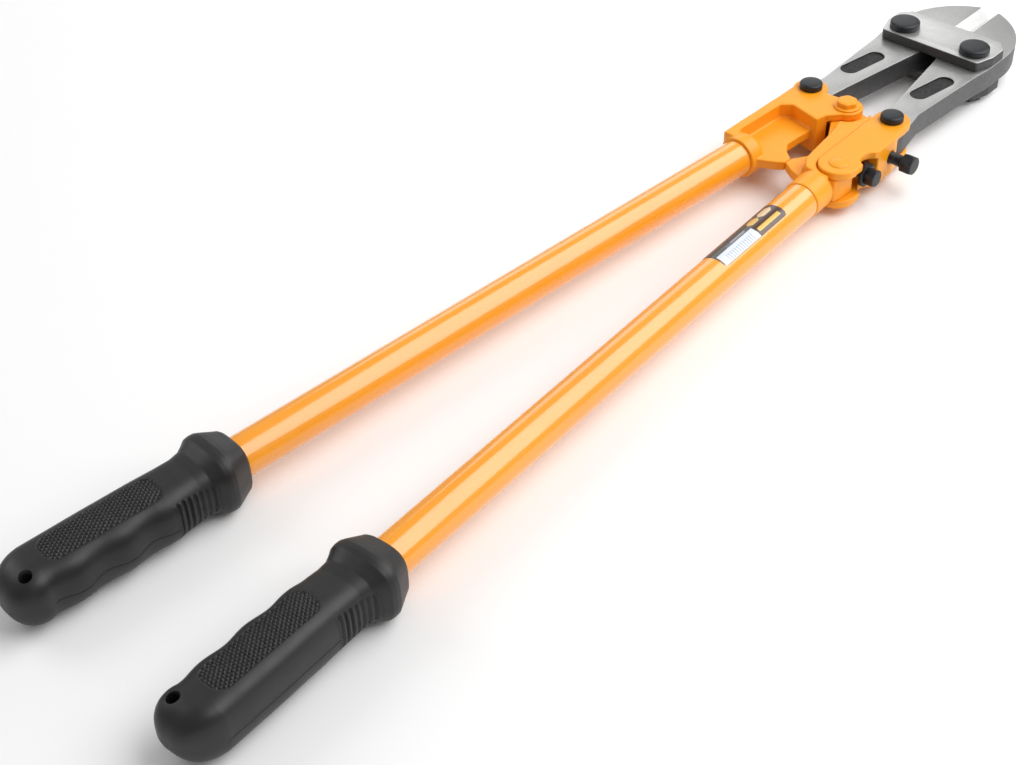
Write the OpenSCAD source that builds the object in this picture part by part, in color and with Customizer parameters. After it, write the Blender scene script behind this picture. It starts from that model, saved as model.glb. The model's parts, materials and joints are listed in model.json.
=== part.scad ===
// Hand bolt cutters, nominal 750 mm size, lying flat with the jaws closed.
// Working frame: origin on the centre bolt's axis at mid-thickness, +X to the jaw
// tips, +Y to the left handle, +Z up. Every node is then set down on the floor.

/* [Handles] */
// Angle between each handle and the tool's centre line, degrees
handle_angle = 3.9; // [3:0.1:5]
// Distance of each tube's axis from the centre line, at the centre bolt
handle_offset = 22.1; // [20:0.1:24]
// Outside diameter of the tubes
tube_d = 22; // [20:0.5:24]
// Wall thickness of the tubes
tube_wall = 2; // [1.5:0.1:3]
// Distance from the centre bolt to the tail of the grips, along a handle
tail_s = 573; // [520:1:640]
// Length of the grips
grip_len = 131; // [120:1:160]
// Height of the grip's body
grip_h = 31; // [29:0.2:34]
// Width of the grip's body
grip_w = 33; // [30:0.5:36]
// Radius of the lanyard hole
lanyard_r = 3; // [2:0.1:4]

/* [Head] */
// Distance from the centre bolt to the handle link pivots, along X
link_x = 4; // [2:0.5:6]
// Distance of the handle link pivots from the centre line
link_y = 29.1; // [27:0.1:31]
// Distance from the centre bolt to the jaw bolts, along X
jaw_bolt_x = 102.3; // [98:0.1:106]
// Distance of the jaw bolts from the centre line
jaw_bolt_y = 25.4; // [24:0.1:27]
// Distance from the centre bolt to the blade tips
tip_x = 166; // [160:0.5:172]
// Thickness of the jaws
jaw_t = 14; // [12:0.5:15]
// Thickness of the side plates
plate_t = 6.2; // [5:0.1:6.5]
// Thickness of the fork cheeks and of the link's plates
cheek_t = 4.7; // [4:0.1:5]
// Width of the side plates, along X
plate_w = 32.4; // [30:0.2:36]
// Length of the side plates, along Y
plate_l = 77; // [70:0.5:80]
// Radius of the open pivot's bore in the right jaw
open_bore_r = 8; // [7.8:0.1:8.4]

/* [Fasteners] */
// Radius of the jaw bolts' shanks
jaw_bolt_r = 5.95; // [5.5:0.05:6]
// Radius of the jaw bolts' heads
jaw_head_r = 9.5; // [9:0.1:10]
// Radius of the handle pivot bolts' shanks
pivot_r = 4.9; // [4:0.05:5]
// Radius of the handle pivot bolts' heads
pivot_head_r = 7; // [6.5:0.1:7.5]
// Radius of the front adjusting screw
front_screw_r = 3.95; // [3.5:0.05:4.2]
// Radius of the rear lock screw
rear_screw_r = 2.95; // [2.5:0.05:3.2]

/* [Hidden] */
$fn = 64;

// Gap between faces of pieces that move past each other
gap = 0.3;
// Radial clearance of running and sliding fits
fit = 0.05;
// Overlap that joins or cuts solids cleanly
eps = 1;
// Number of sides of a rounded outline
outline_fn = 48;
// Thickness of the washers under the jaw bolts' nuts
washer_t = 0.8;
// How far a jaw's cutting edge stays from the centre line
edge_gap = 0.15;

tube_r = tube_d / 2;
bore_r = tube_r - tube_wall;
jaw_half = jaw_t / 2;
slot_half = jaw_half + gap;
cheek_top = slot_half + cheek_t;
plate_top = slot_half + plate_t;
rest_h = 18;
// How far inside a handle's axis the rearmost point of its grip lies
tail_inset = 4;
mid_x = (tip_x - tail_s * cos(handle_angle) - tail_inset * sin(handle_angle)) / 2;

// How far the grip's body sits inwards of the tube's axis
grip_shift = 2;
// Distance of the lanyard hole from the tail, and how far it sits inwards
lanyard_from_tail = 11.5;
lanyard_inset = 9;
// Half width of the grip's flange
flange_half_w = 20;

// Where each tube starts, measured back from the centre bolt along its handle
left_tube_s = 73;
right_tube_s = 86;
tube_end_s = tail_s - 22;
spigot_len = 42;

// The link's rivet and the two screws that set it
rivet_x = -54.5;
rivet_y = -31.5;
front_screw_x = -14;
rear_screw_x = -39;
web_y = -42.6;
scallop_y = -46;
// Half thickness of the fittings' thin webs
web_half = 3;

orange = [0.97, 0.6, 0.09];
steel = [0.55, 0.55, 0.54];
bright_steel = [0.68, 0.68, 0.67];
black_oxide = [0.09, 0.09, 0.1];
black_rubber = [0.13, 0.13, 0.13];
label_black = [0.12, 0.08, 0.05];

// ---------------------------------------------------------------- placing

// Sets the working frame down on the floor, centred under the tool
module on_floor() translate([-mid_x, 0, rest_h]) children();

// Handle frame: local X runs forward along the tube, local Y outward
module left_handle_frame()
    translate([0, handle_offset, 0]) rotate([0, 0, -handle_angle]) children();

module right_side() mirror([0, 1, 0]) children();

// A cylinder along the handle, from s0 to s1 behind the centre bolt
module along_handle(r, s0, s1)
    translate([-s1, 0, 0]) rotate([0, 90, 0]) cylinder(r = r, h = s1 - s0);

// A slab of the outline below, centred on mid-thickness
module slab(half) linear_extrude(2 * half, center = true) children();

// Two equal slabs, above and below mid-thickness
module pair_of_slabs(inner, outer) {
    translate([0, 0, inner]) linear_extrude(outer - inner) children();
    translate([0, 0, -outer]) linear_extrude(outer - inner) children();
}

module round_at(x, y, r) translate([x, y]) circle(r, $fn = outline_fn);

module drill(x, y, r) translate([x, y, 0]) cylinder(r = r, h = 60, center = true);

// ---------------------------------------------------------------- handles

module tube_solid(start_s) {
    difference() {
        along_handle(tube_r, start_s, tube_end_s);
        along_handle(bore_r, start_s - eps, tube_end_s + eps);
    }
}

// Plan outline of a grip: flared front flange, wavy finger side, round tail
module grip_plan() {
    half_w = grip_w / 2;
    front = grip_len - tail_s;
    inner = -half_w - grip_shift;
    outer = half_w - grip_shift;
    wave_len = 26;
    finger_side = [for (x = [-100 : 4 : -24]) [front + x, inner + 0.9 + 0.9 * cos(360 * x / wave_len)]];
    offset(r = 3, $fn = outline_fn) offset(delta = -3)
        polygon(concat(
            [[-tail_s + 12, inner + 2], [-tail_s + 3, inner + 8], [-tail_s, -tail_inset]],
            [[-tail_s, 4], [-tail_s + 4, outer - 6], [-tail_s + 15, outer], [front - 30, outer]],
            [[front - 17, flange_half_w], [front - 11, flange_half_w], [front, 15]],
            [[front, -15], [front - 11, -flange_half_w], [front - 17, -flange_half_w]],
            [for (i = [len(finger_side) - 1 : -1 : 0]) finger_side[i]]));
}

// Side outline of a grip, in the X-Z plane
module grip_profile() {
    front = grip_len - tail_s;
    half_h = grip_h / 2;
    top = [[-tail_s, 7], [-tail_s + 4, half_h - 3], [-tail_s + 10, half_h], [front - 28, half_h],
           [front - 17, rest_h], [front - 9, rest_h], [front, 14]];
    polygon(concat(top, [for (i = [len(top) - 1 : -1 : 0]) [top[i].x, -top[i].y]]));
}

module grip_solid() {
    corner = 9;
    section = [2 * (flange_half_w - corner), 2 * (rest_h - corner)];
    difference() {
        intersection() {
            slab(30) grip_plan();
            rotate([90, 0, 0]) slab(30) grip_profile();
            rotate([90, 0, -90]) translate([0, 0, tail_s / 2])
                linear_extrude(tail_s * 1.2, center = true)
                    offset(r = corner, $fn = 32) square(section, center = true);
        }
        along_handle(tube_r, 0, tube_end_s);
        translate([-tail_s + lanyard_from_tail, -lanyard_inset, 0])
            cylinder(r = lanyard_r, h = 60, center = true);
    }
}

module left_tube() color(orange) on_floor() left_handle_frame() tube_solid(left_tube_s);

module right_tube()
    color(orange) on_floor() right_side() left_handle_frame() tube_solid(right_tube_s);

module left_grip() color(black_rubber) on_floor() left_handle_frame() grip_solid();

module right_grip()
    color(black_rubber) on_floor() right_side() left_handle_frame() grip_solid();

// Thin printed label wrapped over the upper outer side of the right tube
module size_label() {
    label_start = 112;
    label_len = 62;
    label_t = 0.15;
    label_arc = 96;
    outward_end = 38;
    color(label_black) on_floor() right_side() left_handle_frame()
        translate([-label_start, 0, 0]) rotate([0, -90, 0]) rotate([0, 0, outward_end - label_arc])
            rotate_extrude(angle = label_arc) translate([tube_r, 0]) square([label_t, label_len]);
}

// ---------------------------------------------------------------- fittings

// Room for a jaw's tail to swing in its fork, as seen on the left side
module jaw_swing_outline() {
    r = 10.1;
    translate([link_x, link_y]) {
        circle(r, $fn = outline_fn);
        polygon([[0, -r], [40, -r - 7], [40, 40], [30, 45], [-7, 7.3]]);
    }
}

// Raised rim of the left fitting: outer edge, front rib, fork cheeks and centre lugs
module left_rim_outline() {
    round_at(link_x, link_y, 10.6);
    round_at(0, 0, 9.8);
    polygon([[-70, 39.6], [-16, 38.4], [-1, 38.4], [12, 22], [5, 18.8], [6, 6], [-9, -3],
             [-17, 4], [-24, 5.5], [-19, 26], [-24, 32], [-60, 33.8], [-70, 31]]);
}

// Thin web of the left fitting: the pocket's floor and the handle stop
module left_web_outline()
    offset(r = 1.5, $fn = outline_fn) offset(delta = -1.5)
        polygon([[-71, 39], [-60, 39], [-16, 37.5], [-6, 30], [-10, 12], [-20, 8.5], [-34, 10.2],
                 [-45, 10.5], [-52, 6], [-56.5, 0.2], [-62, 0.2], [-65, 4], [-70.5, 15]]);

// Round neck of a fitting, tapering into its web ahead of s0
module neck(r, s0, s1) {
    taper = 9;
    along_handle(r, s0, s1);
    translate([-s0, 0, 0]) rotate([0, 90, 0]) cylinder(r1 = r, r2 = web_half + 1, h = taper);
}

module left_fitting() {
    color(orange) on_floor() difference() {
        union() {
            slab(web_half) left_web_outline();
            slab(cheek_top) left_rim_outline();
            left_handle_frame() neck(12.6, 64, left_tube_s);
            left_handle_frame() along_handle(bore_r - fit, left_tube_s - eps, left_tube_s + spigot_len);
        }
        slab(slot_half) jaw_swing_outline();
        slab(slot_half) round_at(0, 0, 10.5);
        slab(slot_half) polygon([[-4.5, 10.2], [10, 10], [10, -12], [-30, -12], [-30, -0.5], [-16, 3.2]]);
        drill(link_x, link_y, pivot_r + fit);
        drill(0, 0, pivot_r + fit);
    }
}

// Tongue of the right fitting, between the link's plates and the centre lugs
module tongue_outline() {
    round_at(0, 0, 9.8);
    polygon([[-66, -37], [-62, -38.5], [-49, -38.5], [-46, -31.5], [-34, -29.5], [-18, -24.5], [-5, -20],
             [2, -17.6], [6, -7.7], [-3.4, 9.2], [-16, 0.5], [-26, -5], [-32, -8.5], [-53, -11.3],
             [-66, -14]]);
}

// Raised face of the right fitting, beside the link's plates
module right_rim_outline()
    difference() {
        polygon([[-68, -34], [-66.5, -33], [-66, -28], [-60, -20], [-50, -18.3], [2, -16.9], [5, -9],
                 [-14, -4.5], [-22, -6.6], [-30, -8.2], [-53, -11.3], [-60, -12.5], [-68, -18]]);
        round_at(0, 0, 14.5);
    }

// Lug that meets the left fitting's web when the handles are closed
module right_stop_outline()
    polygon([[-70, -18], [-67, -8], [-62, -0.2], [-57, -0.2], [-46, -7], [-46, -20]]);

module right_fitting() {
    rim_half = 10.4;
    color(orange) on_floor() difference() {
        union() {
            slab(jaw_half) tongue_outline();
            slab(rim_half) right_rim_outline();
            slab(web_half) right_stop_outline();
            right_side() left_handle_frame() neck(11.6, 70, right_tube_s);
            right_side() left_handle_frame()
                along_handle(bore_r - fit, right_tube_s - eps, right_tube_s + spigot_len);
        }
        pair_of_slabs(slot_half - gap, 30) round_at(rivet_x, rivet_y, 12.6);
        drill(0, 0, pivot_r + fit);
        drill(rivet_x, rivet_y, pivot_r + fit);
        translate([rear_screw_x, -22, 0]) rotate([90, 0, 0]) cylinder(r = rear_screw_r + fit, h = 30);
    }
}

// ---------------------------------------------------------------- adjusting link

module link_plate_outline() {
    difference() {
        union() {
            hull() {
                round_at(rivet_x, rivet_y, 12);
                round_at(link_x, -link_y, 11);
            }
            link_web_outline();
        }
        round_at(rear_screw_x, scallop_y, 8.3);
    }
}

module link_web_outline()
    polygon([[-30.5, -36], [-29.5, web_y], [-12, web_y + 0.6], [-6, -40.6], [-7, -36]]);

module adjusting_link() {
    color(orange) on_floor() difference() {
        union() {
            pair_of_slabs(slot_half, cheek_top) link_plate_outline();
            slab(slot_half + eps) link_web_outline();
        }
        drill(link_x, -link_y, pivot_r + fit);
        drill(rivet_x, rivet_y, pivot_r + fit);
        translate([front_screw_x, -30, 0]) rotate([90, 0, 0]) cylinder(r = front_screw_r + fit, h = 20);
    }
}

module link_rivet() {
    head_h = 1.2;
    color(orange) on_floor() translate([rivet_x, rivet_y, 0]) {
        cylinder(r = pivot_r, h = 2 * cheek_top + head_h, center = true);
        translate([0, 0, cheek_top]) cylinder(r1 = 6, r2 = 4.6, h = head_h);
        translate([0, 0, -cheek_top - head_h]) cylinder(r1 = 4.6, r2 = 6, h = head_h);
    }
}

// ---------------------------------------------------------------- pivots

// A round-headed bolt: its head sits at seat_top and its shank ends at end_z
module round_bolt(shank_r, head_r, seat_top, head_h, end_z) {
    translate([0, 0, end_z]) cylinder(r = shank_r, h = seat_top - end_z + eps);
    translate([0, 0, seat_top]) cylinder(r = head_r, h = head_h * 0.6);
    translate([0, 0, seat_top + head_h * 0.6]) cylinder(r1 = head_r, r2 = head_r * 0.74, h = head_h * 0.4);
}

module hex_nut(across_flats, hole_r, top_z, height) {
    translate([0, 0, top_z - height]) difference() {
        cylinder(r = across_flats / 2 / cos(30), h = height, $fn = 6);
        translate([0, 0, -eps]) cylinder(r = hole_r, h = height + 2 * eps);
    }
}

module pivot_bolt_solid() round_bolt(pivot_r, pivot_head_r, cheek_top, 4.2, -rest_h + 1);

module pivot_nut_solid() hex_nut(13, pivot_r + fit, -cheek_top, 4.6);

module left_pivot_bolt()
    color(black_oxide) on_floor() translate([link_x, link_y, 0]) pivot_bolt_solid();

module right_pivot_bolt()
    color(black_oxide) on_floor() translate([link_x, -link_y, 0]) pivot_bolt_solid();

module left_pivot_nut()
    color(black_oxide) on_floor() translate([link_x, link_y, 0]) pivot_nut_solid();

module right_pivot_nut()
    color(black_oxide) on_floor() translate([link_x, -link_y, 0]) pivot_nut_solid();

// Hexagon-headed flanged bolt that joins the two handles
module centre_bolt() {
    flange_h = 1.2;
    color(orange) on_floor() {
        translate([0, 0, -rest_h + 1.2]) cylinder(r = pivot_r, h = rest_h + cheek_top);
        translate([0, 0, cheek_top]) cylinder(r = 8, h = flange_h);
        translate([0, 0, cheek_top + flange_h - eps / 4])
            cylinder(r = 6.6, h = 3 + eps / 4, $fn = 6);
    }
}

module centre_nut() color(orange) on_floor() hex_nut(13, pivot_r + fit, -cheek_top, 4.4);

// ---------------------------------------------------------------- jaws

// Left jaw in plan: round tail, tapering arm, and a blade with a round back
module jaw_outline() {
    back_x = 118.4;
    back_y = -12.5;
    back_r = 51.4;
    tip_angle = acos((tip_x - back_x) / back_r);
    steps = 24;
    back = [for (i = [0 : steps]) let (a = 90 + (tip_angle - 90) * i / steps)
        [back_x + back_r * cos(a), back_y + back_r * sin(a)]];
    tail_r = 9.6;
    tail = [for (a = [270 : -10 : 90]) [link_x + tail_r * cos(a), link_y + tail_r * sin(a)]];
    polygon(concat(
        tail,
        [[link_x + 22, 34.2], [88, 37.6], [98, 38.8]],
        back,
        [[tip_x, 5.4], [tip_x, edge_gap], [128, edge_gap], [118, 3.2], [100, 3.2], [88, 6.8], [26, 16.6]]));
}

// Ground bevels of the cutting edge, above and below mid-thickness
module edge_bevels() {
    top_w = 6.2;
    knee_y = 1.9;
    knee_z = 2.6;
    for (flip = [0, 1]) mirror([0, 0, flip])
        translate([127, 0, 0]) rotate([90, 0, 90]) linear_extrude(60)
            polygon([[edge_gap, 0], [knee_y, knee_z], [top_w, jaw_half], [top_w, jaw_half + eps],
                     [-5, jaw_half + eps], [-5, 0]]);
}

// Sunk panel with round ends, on the face at height z
module sunk_panel(x, y, angle, z) {
    panel_l = 34.5;
    panel_w = 11.5;
    depth = 1.2;
    translate([x, y, z > 0 ? z - depth : z - eps]) rotate([0, 0, angle])
        linear_extrude(depth + eps) hull() {
            round_at(-(panel_l - panel_w) / 2, 0, panel_w / 2);
            round_at((panel_l - panel_w) / 2, 0, panel_w / 2);
        }
}

module jaw_solid(bolt_hole_r) {
    difference() {
        slab(jaw_half) jaw_outline();
        edge_bevels();
        drill(link_x, link_y, pivot_r + fit);
        drill(jaw_bolt_x, jaw_bolt_y, bolt_hole_r);
    }
}

module left_jaw() {
    color(steel) on_floor() difference() {
        jaw_solid(jaw_bolt_r + fit);
        sunk_panel(57, 26.4, -9.5, jaw_half);
        sunk_panel(58, 23.6, 9.5, -jaw_half);
    }
}

// The right jaw holds the open pivot: its bolt hole has room for the linkage's play
module right_jaw() {
    color(steel) on_floor() difference() {
        right_side() jaw_solid(open_bore_r);
        sunk_panel(58, -23.6, -9.5, jaw_half);
        sunk_panel(57, -26.4, 9.5, -jaw_half);
    }
}

// ---------------------------------------------------------------- side plates

module side_plate_outline() {
    rear = jaw_bolt_x - 11.8;
    front = rear + plate_w;
    half_l = plate_l / 2;
    offset(r = 2, $fn = outline_fn) offset(delta = -2) polygon([
        [rear, -half_l + 4], [rear + 13, -half_l], [front - 7, -half_l], [front, -half_l + 6],
        [front, half_l - 6], [front - 7, half_l], [rear + 13, half_l], [rear, half_l - 4]]);
}

module side_plate_solid(z) {
    difference() {
        translate([0, 0, z]) linear_extrude(plate_t) side_plate_outline();
        for (side = [-1, 1]) drill(jaw_bolt_x, side * jaw_bolt_y, jaw_bolt_r + fit);
    }
}

module top_side_plate() color(bright_steel) on_floor() side_plate_solid(slot_half);

module bottom_side_plate() color(bright_steel) on_floor() side_plate_solid(-plate_top);

module jaw_bolt_solid() round_bolt(jaw_bolt_r, jaw_head_r, plate_top, 4.5, -rest_h + 0.3);

module left_jaw_bolt()
    color(black_oxide) on_floor() translate([jaw_bolt_x, jaw_bolt_y, 0]) jaw_bolt_solid();

module right_jaw_bolt()
    color(black_oxide) on_floor() translate([jaw_bolt_x, -jaw_bolt_y, 0]) jaw_bolt_solid();

module jaw_washers() {
    color(black_oxide) on_floor() for (side = [-1, 1])
        translate([jaw_bolt_x, side * jaw_bolt_y, -plate_top - washer_t]) difference() {
            cylinder(r = jaw_head_r, h = washer_t);
            translate([0, 0, -eps]) cylinder(r = jaw_bolt_r + fit, h = washer_t + 2 * eps);
        }
}

module jaw_nuts() {
    nut_top = -plate_top - washer_t;
    color(black_oxide) on_floor() for (side = [-1, 1])
        translate([jaw_bolt_x, side * jaw_bolt_y, 0])
            hex_nut(16, jaw_bolt_r + fit, nut_top, rest_h + nut_top);
}

// ---------------------------------------------------------------- screws

// Threaded through the link's web; its end bears on the tongue
module front_adjusting_screw() {
    color(black_oxide) on_floor() translate([front_screw_x, 0, 0]) rotate([90, 0, 0]) {
        translate([0, 0, 25.2]) cylinder(r = front_screw_r, h = 26);
        translate([0, 0, 50.5]) cylinder(r = 6, h = 7.5, $fn = 6);
    }
}

// Threaded into the tongue; its collar holds the link's plates
module rear_lock_screw() {
    color(black_oxide) on_floor() translate([rear_screw_x, 0, 0]) rotate([90, 0, 0]) {
        translate([0, 0, 24]) cylinder(r = rear_screw_r, h = 18);
        translate([0, 0, 40]) cylinder(r = 7.2, h = 2.4);
        translate([0, 0, 42]) cylinder(r = 5.6, h = 6.6, $fn = 6);
    }
}

right_tube();
right_fitting();
right_grip();
size_label();
adjusting_link();
link_rivet();
right_pivot_bolt();
right_pivot_nut();
left_tube();
left_fitting();
left_grip();
centre_bolt();
centre_nut();
left_pivot_bolt();
left_pivot_nut();
left_jaw();
right_jaw();
top_side_plate();
bottom_side_plate();
left_jaw_bolt();
right_jaw_bolt();
jaw_nuts();
jaw_washers();
front_adjusting_screw();
rear_lock_screw();
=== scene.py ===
"""Bolt cutters, 750 mm class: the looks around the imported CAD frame.

Lengths are in metres in the frame of the CAD model: origin on the floor under the
middle of the tool, +X to the jaw tips, +Y to the left handle, +Z up. MM turns the
millimetre sizes of small features into metres.
"""

import json
import math

import bmesh
import bpy
import numpy as np
from mathutils import Matrix, Vector


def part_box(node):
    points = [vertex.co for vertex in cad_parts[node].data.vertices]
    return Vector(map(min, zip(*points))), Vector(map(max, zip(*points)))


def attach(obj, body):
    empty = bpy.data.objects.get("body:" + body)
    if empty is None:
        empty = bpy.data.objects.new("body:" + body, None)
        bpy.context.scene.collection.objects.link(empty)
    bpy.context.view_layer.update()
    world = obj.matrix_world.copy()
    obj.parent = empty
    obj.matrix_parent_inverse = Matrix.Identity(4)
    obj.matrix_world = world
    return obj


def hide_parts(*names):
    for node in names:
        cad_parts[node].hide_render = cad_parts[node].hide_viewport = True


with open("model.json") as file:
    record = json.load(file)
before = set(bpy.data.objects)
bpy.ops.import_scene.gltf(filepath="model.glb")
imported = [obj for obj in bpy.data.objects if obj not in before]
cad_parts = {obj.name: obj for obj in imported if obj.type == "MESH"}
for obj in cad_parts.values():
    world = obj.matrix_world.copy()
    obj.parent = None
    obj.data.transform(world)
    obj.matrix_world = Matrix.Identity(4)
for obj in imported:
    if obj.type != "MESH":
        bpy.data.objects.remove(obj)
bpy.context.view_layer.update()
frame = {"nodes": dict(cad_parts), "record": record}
MM = 0.001

# ---------------------------------------------------------------- places from the frame

joints = {j["name"]: j for j in frame["record"]["behaviour"]["joints"]}
CENTRE = Vector(joints["handle_fold"]["pos_m"])
MID_Z = CENTRE.z
LEFT_PIVOT = Vector(joints["left_jaw_pivot"]["pos_m"])
RIGHT_PIVOT = Vector(joints["right_jaw_pivot"]["pos_m"])
LEFT_JAW_BOLT = Vector(joints["side_plate_pivot"]["pos_m"])
RIGHT_JAW_BOLT = Vector((LEFT_JAW_BOLT.x, -LEFT_JAW_BOLT.y, LEFT_JAW_BOLT.z))

# Each handle's axis, as part.scad sets it out from the centre bolt
HANDLE_ANGLE = math.radians(3.9)
HANDLE_OFFSET = 22.1 * MM
TUBE_R = 11 * MM
TAIL_S = 573 * MM
GRIP_LEN = 131 * MM


def handle_matrix(side):
    """Local X runs back along the handle, local Y outward, local Z up; side is +1 left, -1 right."""
    back = Vector((-math.cos(HANDLE_ANGLE), side * math.sin(HANDLE_ANGLE), 0))
    outward = Vector((math.sin(HANDLE_ANGLE), side * math.cos(HANDLE_ANGLE), 0))
    origin = CENTRE + Vector((0, side * HANDLE_OFFSET, 0))
    m = Matrix.Identity(4)
    for row in range(3):
        m[row] = (back[row], outward[row], (0, 0, 1)[row], origin[row])
    return m


# ---------------------------------------------------------------- materials

def new_material(name):
    mat = bpy.data.materials.new(name)
    mat.use_nodes = True
    nodes = mat.node_tree.nodes
    nodes.clear()
    out = nodes.new("ShaderNodeOutputMaterial")
    bsdf = nodes.new("ShaderNodeBsdfPrincipled")
    mat.node_tree.links.new(bsdf.outputs[0], out.inputs[0])
    return mat, bsdf


class Graph:
    """Short calls for adding and joining nodes of one material."""

    def __init__(self, mat):
        self.nodes = mat.node_tree.nodes
        self.links = mat.node_tree.links
        self.coords = self.nodes.new("ShaderNodeTexCoord").outputs["Object"]

    def put(self, value, socket):
        if isinstance(value, bpy.types.NodeSocket):
            self.links.new(value, socket)
        else:
            socket.default_value = value

    def noise(self, scale, detail=4.0, roughness=0.55, stretch=(1, 1, 1), distortion=0.0):
        mapping = self.nodes.new("ShaderNodeMapping")
        mapping.inputs["Scale"].default_value = stretch
        self.links.new(self.coords, mapping.inputs["Vector"])
        n = self.nodes.new("ShaderNodeTexNoise")
        n.inputs["Scale"].default_value = scale
        n.inputs["Detail"].default_value = detail
        n.inputs["Roughness"].default_value = roughness
        n.inputs["Distortion"].default_value = distortion
        self.links.new(mapping.outputs[0], n.inputs["Vector"])
        return n.outputs["Fac"]

    def ramp(self, value, low, high, a=0.0, b=1.0):
        m = self.nodes.new("ShaderNodeMapRange")
        for name, number in (("From Min", low), ("From Max", high), ("To Min", a), ("To Max", b)):
            m.inputs[name].default_value = number
        self.put(value, m.inputs["Value"])
        return m.outputs[0]

    def math(self, op, a, b=0.0):
        m = self.nodes.new("ShaderNodeMath")
        m.operation = op
        self.put(a, m.inputs[0])
        self.put(b, m.inputs[1])
        return m.outputs[0]

    def mix(self, fac, a, b):
        m = self.nodes.new("ShaderNodeMix")
        m.data_type = "RGBA"
        self.put(fac, m.inputs["Factor"])
        self.put(a if isinstance(a, bpy.types.NodeSocket) else (*a, 1), m.inputs[6])
        self.put(b if isinstance(b, bpy.types.NodeSocket) else (*b, 1), m.inputs[7])
        return m.outputs[2]

    def bump(self, height, strength, distance, under=None):
        n = self.nodes.new("ShaderNodeBump")
        n.inputs["Strength"].default_value = strength
        n.inputs["Distance"].default_value = distance
        self.put(height, n.inputs["Height"])
        if under is not None:
            self.links.new(under, n.inputs["Normal"])
        return n.outputs[0]

    def facing_up(self):
        """1 on level faces, 0 on upright ones."""
        geo = self.nodes.new("ShaderNodeNewGeometry")
        split = self.nodes.new("ShaderNodeSeparateXYZ")
        self.links.new(geo.outputs["Normal"], split.inputs[0])
        return self.ramp(self.math("ABSOLUTE", split.outputs[2]), 0.7, 0.97)

    def edge_wear_and_highlight(self, radius):
        """Bright where a ray-traced bevel turns the normal, that is along edges: wear on the black oxide, a
        painted highlight on the ground steel.
        """
        bevel = self.nodes.new("ShaderNodeBevel")
        bevel.samples = 4
        bevel.inputs["Radius"].default_value = radius
        geo = self.nodes.new("ShaderNodeNewGeometry")
        dot = self.nodes.new("ShaderNodeVectorMath")
        dot.operation = "DOT_PRODUCT"
        self.links.new(bevel.outputs[0], dot.inputs[0])
        self.links.new(geo.outputs["Normal"], dot.inputs[1])
        return self.ramp(dot.outputs["Value"], 0.98, 0.85)


def orange_paint(name, cast):
    """Glossy orange enamel; over a casting it is a little uneven and speckled."""
    mat, bsdf = new_material(name)
    g = Graph(mat)
    tone = g.noise(14, detail=3)
    base = g.mix(tone, (0.9, 0.32, 0.008), (0.99, 0.38, 0.012))
    specks = g.ramp(g.noise(900, detail=2), 0.66, 0.74)
    colour = g.mix(g.math("MULTIPLY", specks, 0.35), base, (0.62, 0.22, 0.015))
    g.put(colour, bsdf.inputs["Base Color"])
    smooth, rough = (0.34, 0.46) if cast else (0.24, 0.32)
    g.put(g.ramp(g.noise(60), 0.3, 0.7, smooth, rough), bsdf.inputs["Roughness"])
    bsdf.inputs["Coat Weight"].default_value = 0.15 if cast else 1.0
    bsdf.inputs["Coat Roughness"].default_value = 0.3 if cast else 0.1
    bsdf.inputs["Specular IOR Level"].default_value = 0.35 if cast else 0.5
    peel = g.bump(g.noise(260, detail=2), 0.25 if cast else 0.12, 0.0002)
    if cast:
        peel = g.bump(g.noise(45, detail=3), 0.35, 0.0006, under=peel)
    g.put(peel, bsdf.inputs["Normal"])
    return mat


def shade(colour, factor):
    return tuple(c * factor for c in colour)


def ground_steel(name, light, dark, grain_axis):
    """Ground level faces with fine scratches; forged sides are darker and rougher; every edge carries a
    painted highlight.
    """
    mat, bsdf = new_material(name)
    g = Graph(mat)
    stretch = (0.05, 1, 1) if grain_axis == "X" else (1, 0.05, 1)
    scratches = g.noise(2600, detail=3, roughness=0.7, stretch=stretch)
    cloud = g.noise(38, detail=5)
    level = g.facing_up()
    ground = g.mix(g.ramp(cloud, 0.3, 0.7), light, shade(light, 0.86))
    ground = g.mix(g.ramp(scratches, 0.45, 0.75, 0, 0.3), ground, shade(light, 0.6))
    pits = g.ramp(g.noise(1300, detail=2), 0.56, 0.7, 0, 0.35)
    ground = g.mix(pits, ground, shade(light, 0.5))
    forged = g.mix(g.noise(420, detail=6), dark, shade(dark, 1.9))
    surface = g.mix(level, forged, ground)
    # Painted highlight: every edge is lightened towards pale grey, standing in for the light that the
    # rounded edges catch.
    bright_edges = g.math("MULTIPLY", g.edge_wear_and_highlight(0.5 * MM), 0.7)
    g.put(g.mix(bright_edges, surface, (0.75, 0.75, 0.74)), bsdf.inputs["Base Color"])
    bsdf.inputs["Metallic"].default_value = 0.85
    g.put(g.ramp(level, 0, 1, 0.52, 0.38), bsdf.inputs["Roughness"])
    skin = g.bump(g.noise(700, detail=5), 0.35, 0.0003)
    g.put(g.bump(scratches, 0.12, 0.0001, under=skin), bsdf.inputs["Normal"])
    return mat


def bright_bevel():
    """Freshly ground cutting bevel."""
    mat, bsdf = new_material("ground_bevel")
    g = Graph(mat)
    lines = g.noise(3000, detail=2, stretch=(1, 0.06, 0.06))
    colour = g.mix(g.ramp(lines, 0.35, 0.7), (0.93, 0.93, 0.92), (0.8, 0.8, 0.79))
    g.put(colour, bsdf.inputs["Base Color"])
    bsdf.inputs["Metallic"].default_value = 0.6
    g.put(g.ramp(g.noise(300), 0.3, 0.7, 0.36, 0.48), bsdf.inputs["Roughness"])
    g.put(g.bump(lines, 0.1, 0.0001), bsdf.inputs["Normal"])
    return mat


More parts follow.
